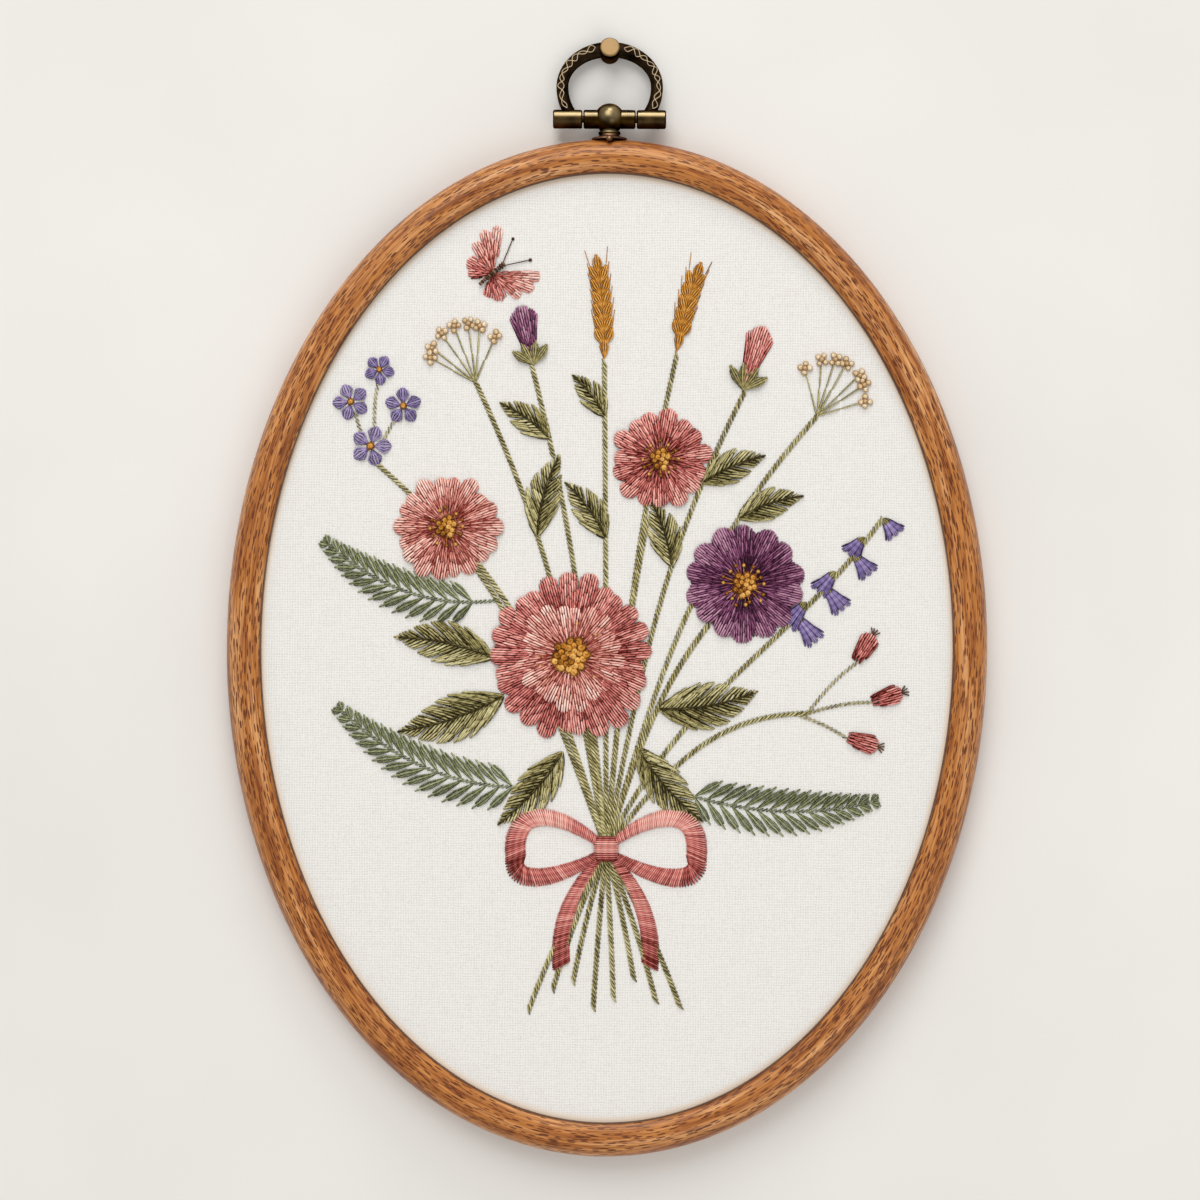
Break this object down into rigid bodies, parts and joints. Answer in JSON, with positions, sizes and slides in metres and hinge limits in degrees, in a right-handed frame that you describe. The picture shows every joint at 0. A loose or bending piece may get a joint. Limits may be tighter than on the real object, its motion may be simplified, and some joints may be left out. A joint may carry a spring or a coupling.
{
  "type": "embroidered cloth in an oval wooden hoop with a hanging ring",
  "caption": "Round-edged oval oak hoop gripping a stretched linen over an inner hoop, with a brass post, cross pin and D-shaped hanging ring at its top.",
  "frame": {"origin": "on the resting plane, under the centre of the whole part's box, with the hoop lying on its back", "axes": "+X to the right of the face, +Y along the oval towards the hanging ring, +Z out of the face"},
  "size_m": [0.19, 0.2794, 0.011],
  "materials": {
    "oiled_oak": "oiled, satin",
    "plain_beech": "sanded, matte",
    "white_linen": "plain weave, matte",
    "aged_brass": "darkened, satin",
    "rubbed_brass": "rubbed bright, satin"
  },
  "bodies": {
    "root": {"outer_hoop": "oiled_oak", "inner_hoop": "plain_beech", "linen": "white_linen", "hanger_post": "aged_brass", "hanger_pin": "aged_brass", "hanging_ring": "aged_brass", "ring_stud": "rubbed_brass"}
  },
  "joints": []
}
